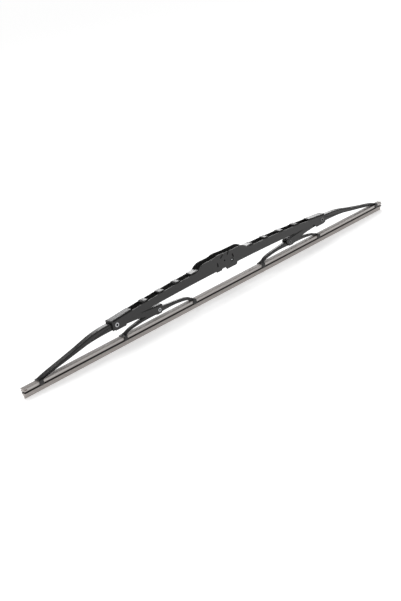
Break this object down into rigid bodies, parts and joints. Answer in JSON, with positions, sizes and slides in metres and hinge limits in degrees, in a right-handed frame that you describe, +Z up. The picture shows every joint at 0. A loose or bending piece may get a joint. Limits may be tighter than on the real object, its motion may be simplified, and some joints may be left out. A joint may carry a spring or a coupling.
{
  "type": "wiper blade",
  "caption": "Bracket windscreen wiper blade: a pressed steel linkage of pivoting bows and yokes whose claws hold a rubber squeegee with flat steel rails, and a clip-on arm adapter.",
  "frame": {"origin": "under the middle of the blade, on the wiping lip", "axes": "X along the blade, Y across it, Z up from the lip towards the wiper arm"},
  "size_m": [0.502, 0.0108, 0.0419],
  "materials": {
    "black_steel": "satin black powder coat",
    "bare_steel": "bright zinc plated",
    "rail_steel": "rolled stainless",
    "black_plastic": "moulded",
    "grey_rubber": "extruded, dusted"
  },
  "bodies": {
    "main": {"main_bow": "black_steel", "pivot_pin": "bare_steel", "left_bow_liner": "black_plastic", "right_bow_liner": "black_plastic", "left_bow_rivet": "bare_steel", "right_bow_rivet": "bare_steel"},
    "adapter": {"adapter": "black_plastic"},
    "left_arm": {"left_bow": "black_steel", "left_yoke_liner": "black_plastic", "left_yoke_rivet": "bare_steel"},
    "right_arm": {"right_bow": "black_steel", "right_yoke_liner": "black_plastic", "right_yoke_rivet": "bare_steel"},
    "left_rocker": {"left_yoke": "black_steel"},
    "right_rocker": {"right_yoke": "black_steel"},
    "strip": {"squeegee": "grey_rubber", "front_rail": "rail_steel", "rear_rail": "rail_steel"}
  },
  "joints": [
    {"name": "adapter_swing", "type": "hinge", "parent": "main", "child": "adapter", "pos_m": [0.0065, 0, 0.031], "axis": [0, 1, 0], "range_deg": [-20, 20]},
    {"name": "left_bow_pivot", "type": "hinge", "parent": "main", "child": "left_arm", "pos_m": [-0.1451, 0, 0.0248], "axis": [0, 1, 0], "range_deg": [-4.5, 1.5], "stiffness_Nm_per_rad": 6},
    {"name": "right_bow_pivot", "type": "hinge", "parent": "main", "child": "right_arm", "pos_m": [0.1451, 0, 0.0248], "axis": [0, 1, 0], "range_deg": [-1.5, 4.5]},
    {"name": "left_yoke_pivot", "type": "hinge", "parent": "left_arm", "child": "left_rocker", "pos_m": [-0.0932, 0, 0.0177], "axis": [0, 1, 0], "range_deg": [-0.7, 1.9]},
    {"name": "right_yoke_pivot", "type": "hinge", "parent": "right_arm", "child": "right_rocker", "pos_m": [0.0932, 0, 0.0177], "axis": [0, 1, 0], "range_deg": [-1.9, 0.7]},
    {"name": "strip_lift", "type": "slide", "parent": "main", "child": "strip", "axis": [0, 0, 1], "range_m": [-0.0024, 0.007], "deforming": ["squeegee", "front_rail", "rear_rail"]}
  ],
  "couplings": [
    {"joint": "right_bow_pivot", "follows": "left_bow_pivot", "ratio": -1},
    {"joint": "left_yoke_pivot", "follows": "left_bow_pivot", "ratio": -0.403},
    {"joint": "right_yoke_pivot", "follows": "left_bow_pivot", "ratio": 0.403},
    {"joint": "strip_lift", "follows": "left_bow_pivot", "m_per_rad": -0.0861}
  ]
}
